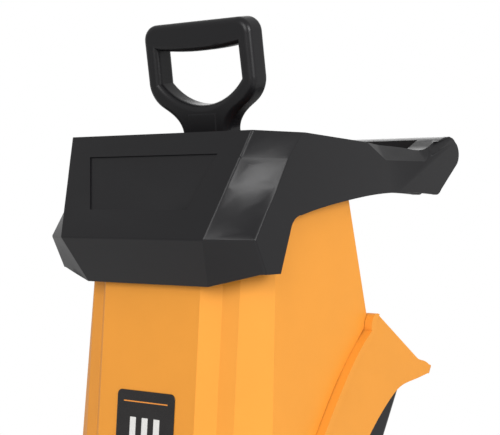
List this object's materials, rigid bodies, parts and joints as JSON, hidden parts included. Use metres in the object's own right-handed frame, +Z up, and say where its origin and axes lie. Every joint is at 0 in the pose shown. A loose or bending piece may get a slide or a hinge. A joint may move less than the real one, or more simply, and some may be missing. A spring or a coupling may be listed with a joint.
{
  "type": "garden wood chipper",
  "caption": "Electric garden wood chipper: upright feed tower with black hood, tow handle and D-grip plunger, tilted motor and cutter head, leg stand with two wheels.",
  "frame": {"origin": "on the ground, at the centre of the outline's rectangle", "axes": "+Z up; -Y out of the badge on the feed tower's front; +Y towards the tow handle; +X to the right of someone facing the badge"},
  "size_m": [0.417, 0.53, 1.0524],
  "materials": {
    "orange_shell": "satin moulded polypropylene, fine grain",
    "black_shell": "satin moulded polypropylene, fine grain",
    "badge_print": "smooth blank plate",
    "black_knob": "moulded polyamide",
    "deck_casting": "die cast, lightly sandblasted",
    "housing_plastic": "moulded glass-filled polyamide",
    "funnel_sheet": "zinc plated sheet",
    "zinc_fastener": "bright zinc plate",
    "tool_steel": "hardened and ground",
    "machined_steel": "turned",
    "disc_steel": "black oxide plate",
    "laminations": "stacked laminations",
    "copper_winding": "enamelled copper",
    "fan_plastic": "natural polyamide",
    "carbon": "pressed carbon",
    "capacitor_case": "potted case",
    "green_button": "gloss",
    "red_button": "gloss",
    "grey_button": "gloss",
    "brass_pin": "nickelled brass",
    "stand_tube": "black powder coat",
    "axle_steel": "zinc plated",
    "foot_rubber": "moulded rubber",
    "tyre_rubber": "moulded tread",
    "wheel_plastic": "moulded polypropylene",
    "cap_orange": "moulded polypropylene"
  },
  "bodies": {
    "base": {"deck_plate": "deck_casting", "cutter_housing": "housing_plastic", "discharge_chute": "housing_plastic", "cover_screws": "zinc_fastener", "housing_bolts": "zinc_fastener", "hinge_pin": "zinc_fastener", "motor_hood": "orange_shell", "motor_cowl": "black_shell", "interlock_switch": "black_knob", "gear_case": "deck_casting", "gear_case_screws": "zinc_fastener", "ball_bearings": "machined_steel", "stator_core": "laminations", "field_coils": "copper_winding", "motor_end_bracket": "deck_casting", "motor_bolts": "zinc_fastener", "brush_holders": "black_knob", "carbon_brushes": "carbon", "capacitor": "capacitor_case", "switch_box": "black_shell", "power_inlet": "black_shell", "inlet_pins": "brass_pin", "counter_blade": "tool_steel", "counter_blade_screws": "zinc_fastener", "front_leg_frame": "stand_tube", "rear_leg_frame": "stand_tube", "leg_bolts": "zinc_fastener", "side_braces": "stand_tube", "brace_bolts": "zinc_fastener", "rubber_feet": "foot_rubber", "axle": "axle_steel", "axle_spacers": "wheel_plastic", "axle_caps": "cap_orange"},
    "hopper": {"feed_tower": "orange_shell", "feed_funnel": "funnel_sheet", "badge": "badge_print", "hopper_cap": "black_shell", "cap_screws": "zinc_fastener"},
    "plunger": {"plunger": "black_shell"},
    "cutter": {"cutter_disc": "disc_steel", "cutter_blades": "tool_steel", "blade_screws": "zinc_fastener", "disc_bolt": "zinc_fastener", "spindle": "machined_steel", "driven_gear": "machined_steel"},
    "armature": {"motor_shaft": "machined_steel", "pinion": "machined_steel", "cooling_fan": "fan_plastic", "armature_core": "laminations", "armature_windings": "copper_winding", "commutator": "copper_winding"},
    "lock": {"lock_knob": "black_knob", "lock_screw": "zinc_fastener"},
    "wheel_left": {"wheel_hub_left": "wheel_plastic", "tyre_left": "tyre_rubber"},
    "wheel_right": {"wheel_hub_right": "wheel_plastic", "tyre_right": "tyre_rubber"},
    "start_button": {"start_button": "green_button"},
    "stop_button": {"stop_button": "red_button"},
    "reset_button": {"reset_button": "grey_button"}
  },
  "joints": [
    {"name": "hopper_tilt", "type": "hinge", "parent": "base", "child": "hopper", "pos_m": [0, -0.13112, 0.55207], "axis": [1, 0, 0], "range_deg": [0, 50]},
    {"name": "plunger_lift", "type": "slide", "parent": "hopper", "child": "plunger", "axis": [0, -0.1676, 0.9859], "range_m": [0, 0.33]},
    {"name": "lock_knob_turn", "type": "hinge", "parent": "base", "child": "lock", "pos_m": [-0.075, 0.00079, 0.66724], "axis": [0, 0.6577, -0.7533], "continuous": true},
    {"name": "cutter_spin", "type": "hinge", "parent": "base", "child": "cutter", "pos_m": [0, -0.0615, 0.4667], "axis": [0, 0.5736, 0.8192], "continuous": true},
    {"name": "armature_spin", "type": "hinge", "parent": "base", "child": "armature", "pos_m": [0.04106, -0.06478, 0.46899], "axis": [0, 0.5736, 0.8192], "continuous": true},
    {"name": "wheel_left_spin", "type": "hinge", "parent": "base", "child": "wheel_left", "pos_m": [-0.179, 0.15, 0.09], "axis": [1, 0, 0], "continuous": true},
    {"name": "wheel_right_spin", "type": "hinge", "parent": "base", "child": "wheel_right", "pos_m": [0.179, 0.15, 0.09], "axis": [1, 0, 0], "continuous": true},
    {"name": "start_button_press", "type": "slide", "parent": "base", "child": "start_button", "axis": [0, -0.8192, 0.5736], "range_m": [0, 0.003], "stiffness_N_per_m": 400, "springref_m": -0.002},
    {"name": "stop_button_press", "type": "slide", "parent": "base", "child": "stop_button", "axis": [0, -0.8192, 0.5736], "range_m": [0, 0.003], "stiffness_N_per_m": 400, "springref_m": -0.002},
    {"name": "reset_button_press", "type": "slide", "parent": "base", "child": "reset_button", "axis": [0, -0.8192, 0.5736], "range_m": [0, 0.002], "stiffness_N_per_m": 400, "springref_m": -0.002}
  ],
  "couplings": [
    {"joint": "armature_spin", "follows": "cutter_spin", "ratio": -4.5}
  ]
}
